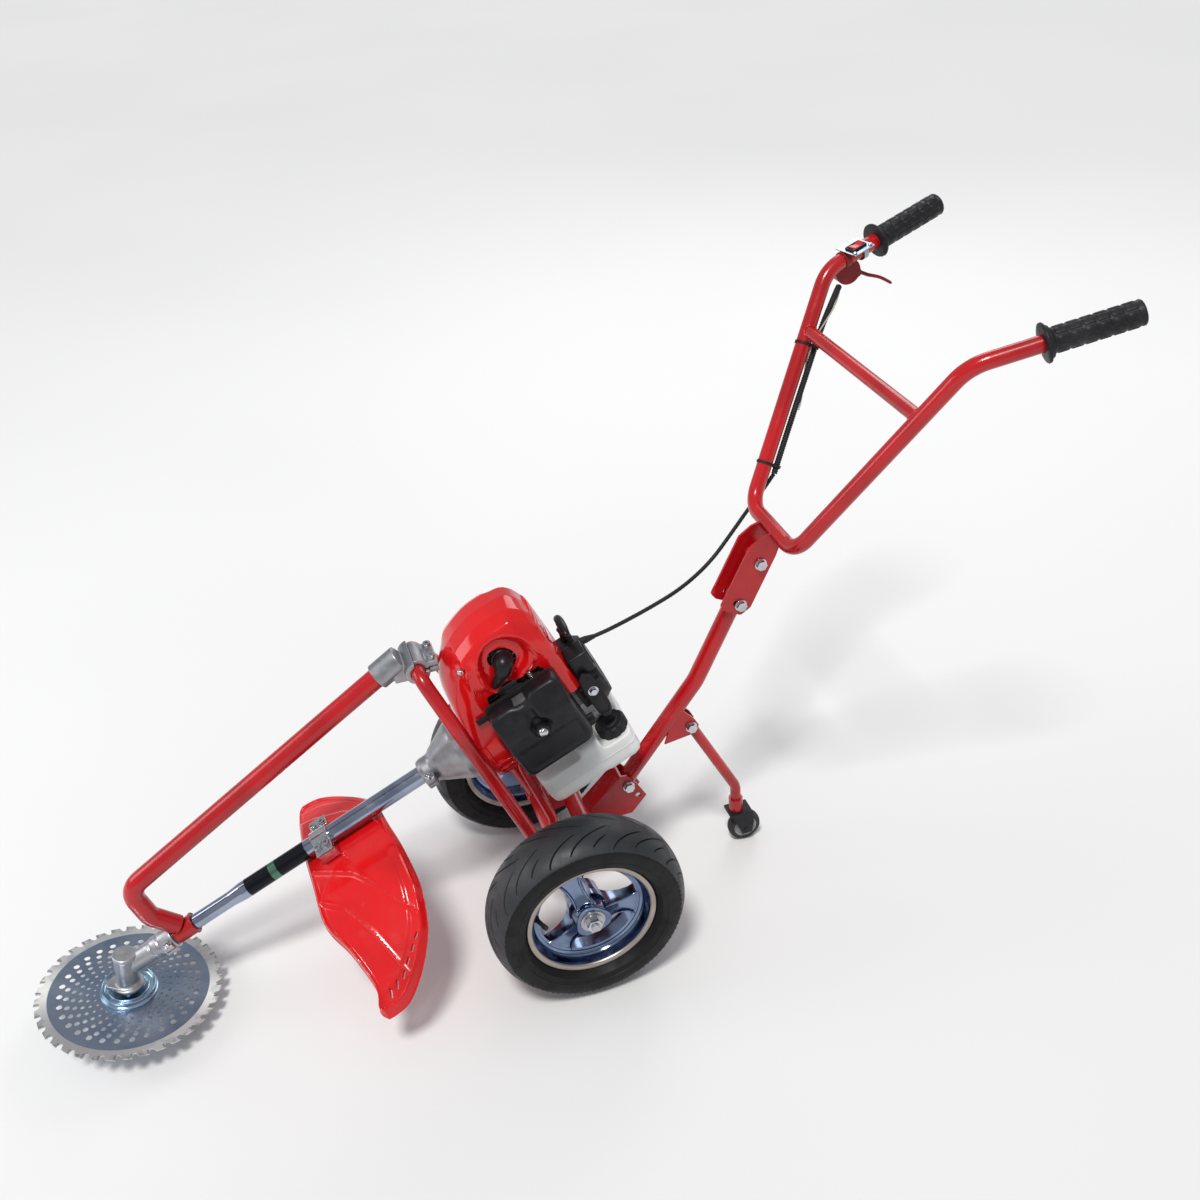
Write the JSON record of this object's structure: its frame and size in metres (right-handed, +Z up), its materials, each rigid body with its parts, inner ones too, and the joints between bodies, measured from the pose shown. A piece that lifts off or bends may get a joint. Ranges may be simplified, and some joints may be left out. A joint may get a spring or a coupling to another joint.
{
  "type": "wheeled brush cutter",
  "caption": "Wheeled petrol brush cutter: toothed disc on a sloping shaft, engine over two wheels, rear column with handlebar and folding caster leg.",
  "frame": {"origin": "under the middle of the whole machine, at floor level", "axes": "+X forward to the blade, +Y the machine's left, +Z up"},
  "size_m": [1.4933, 0.5056, 0.8908],
  "materials": {
    "red_paint": "gloss",
    "red_plastic": "gloss",
    "black_plastic": "satin",
    "tank_plastic": "satin",
    "black_rubber": "matte",
    "tyre_rubber": "matte",
    "cast_aluminium": "satin",
    "bright_aluminium": "polished",
    "steel": "brushed",
    "chrome": "polished",
    "dark_steel": "rough",
    "filter_foam": "matte",
    "plug_ceramic": "gloss",
    "caster_rubber": "matte"
  },
  "bodies": {
    "frame": {"axle_beam": "red_paint", "axle": "steel", "axle_nuts": "chrome", "wheel_bearings": "steel", "side_frame": "red_paint", "engine_stays": "red_paint", "front_pole": "red_paint", "pole_clamp": "cast_aluminium", "clamp_cap": "cast_aluminium", "rear_column": "red_paint", "frame_bolts": "chrome", "cap_screws": "chrome", "throttle_cable": "black_rubber", "shaft_tube": "bright_aluminium", "gear_case": "cast_aluminium", "guard": "red_plastic", "guard_clamp": "chrome", "clutch_housing": "cast_aluminium", "crankcase": "cast_aluminium", "cylinder": "cast_aluminium", "spark_plug": "plug_ceramic", "plug_boot": "black_rubber", "cylinder_cover": "red_plastic", "starter_housing": "black_plastic", "fuel_tank": "tank_plastic", "muffler": "dark_steel", "carburettor": "cast_aluminium", "air_filter": "filter_foam", "air_cleaner_cover": "black_plastic", "filter_case": "black_plastic", "cover_knob": "chrome"},
    "wheel_left": {"tyre_left": "tyre_rubber", "rim_left": "bright_aluminium"},
    "wheel_right": {"tyre_right": "tyre_rubber", "rim_right": "bright_aluminium"},
    "leg": {"support_leg": "red_paint"},
    "caster": {"caster_fork": "black_plastic"},
    "caster_roller": {"caster_wheel": "caster_rubber"},
    "handle": {"handlebar": "red_paint", "grip_left": "black_rubber", "grip_right": "black_rubber", "switch_plate": "chrome", "lever_perch": "red_plastic", "throttle_conduit": "black_plastic", "cable_ties": "black_plastic"},
    "rocker": {"rocker_switch": "red_plastic"},
    "throttle": {"throttle_lever": "black_plastic"},
    "blade_rotor": {"spindle": "steel", "blade": "steel", "blade_holders": "chrome", "blade_nut": "chrome"},
    "drive_rotor": {"drive_shaft": "steel", "clutch_drum": "dark_steel"},
    "crank_rotor": {"crankshaft": "steel", "flywheel": "cast_aluminium", "clutch_shoes": "dark_steel"},
    "recoil": {"starter_handle": "black_plastic"},
    "recoil_pulley": {"starter_pulley": "black_plastic"},
    "tank_cap": {"fuel_cap": "black_plastic"},
    "choke": {"choke_lever": "black_plastic"}
  },
  "joints": [
    {"name": "wheel_left_spin", "type": "hinge", "parent": "frame", "child": "wheel_left", "pos_m": [-0.0115, 0.1816, 0.14], "axis": [0, 1, 0], "continuous": true},
    {"name": "wheel_right_spin", "type": "hinge", "parent": "frame", "child": "wheel_right", "pos_m": [-0.0115, -0.1816, 0.14], "axis": [0, 1, 0], "continuous": true},
    {"name": "leg_fold", "type": "hinge", "parent": "frame", "child": "leg", "pos_m": [-0.2375, 0, 0.255], "axis": [0, 1, 0], "range_deg": [0, 75]},
    {"name": "caster_swivel", "type": "hinge", "parent": "leg", "child": "caster", "pos_m": [-0.3085, 0, 0.066], "axis": [0, 0, 1], "continuous": true},
    {"name": "caster_roll", "type": "hinge", "parent": "caster", "child": "caster_roller", "pos_m": [-0.3205, 0, 0.026], "axis": [0, 1, 0], "continuous": true},
    {"name": "handlebar_tilt", "type": "hinge", "parent": "frame", "child": "handle", "pos_m": [-0.3475, 0, 0.511], "axis": [0, 1, 0], "range_deg": [0, 6]},
    {"name": "throttle_squeeze", "type": "hinge", "parent": "handle", "child": "throttle", "pos_m": [-0.5945, -0.203, 0.813], "axis": [0, 1, 0], "range_deg": [0, 25], "stiffness_Nm_per_rad": 0.06, "springref_deg": -11.46},
    {"name": "switch_rock", "type": "hinge", "parent": "handle", "child": "rocker", "pos_m": [-0.58928, -0.18973, 0.85208], "axis": [-0.239, 0.971, 0], "range_deg": [-8, 8]},
    {"name": "blade_spin", "type": "hinge", "parent": "frame", "child": "blade_rotor", "pos_m": [0.6205, 0, 0.045], "axis": [-0.1471, 0, 0.9891], "continuous": true},
    {"name": "drive_spin", "type": "hinge", "parent": "frame", "child": "drive_rotor", "pos_m": [0.1545, 0, 0.29], "axis": [-0.9157, 0, 0.4019], "continuous": true},
    {"name": "crank_spin", "type": "hinge", "parent": "frame", "child": "crank_rotor", "pos_m": [-0.00116, 0, 0.35833], "axis": [-0.9157, 0, 0.4019], "continuous": true},
    {"name": "recoil_pull", "type": "slide", "parent": "frame", "child": "recoil", "axis": [0.0645, 0, 0.9979], "range_m": [0, 0.45], "stiffness_N_per_m": 8, "springref_m": -0.15},
    {"name": "recoil_spin", "type": "hinge", "parent": "frame", "child": "recoil_pulley", "pos_m": [-0.09181, 0, 0.39812], "axis": [-0.9157, 0, 0.4019], "range_deg": [-1, 960]},
    {"name": "cap_lift", "type": "slide", "parent": "frame", "child": "tank_cap", "axis": [0.4019, 0, 0.9157], "range_m": [0, 0.01]},
    {"name": "choke_turn", "type": "hinge", "parent": "frame", "child": "choke", "pos_m": [0.05306, 0.0584, 0.40224], "axis": [0, 1, 0], "range_deg": [0, 40]}
  ],
  "couplings": [
    {"joint": "drive_spin", "follows": "blade_spin", "ratio": 1.3571},
    {"joint": "recoil_spin", "follows": "recoil_pull", "rad_per_m": 37}
  ]
}
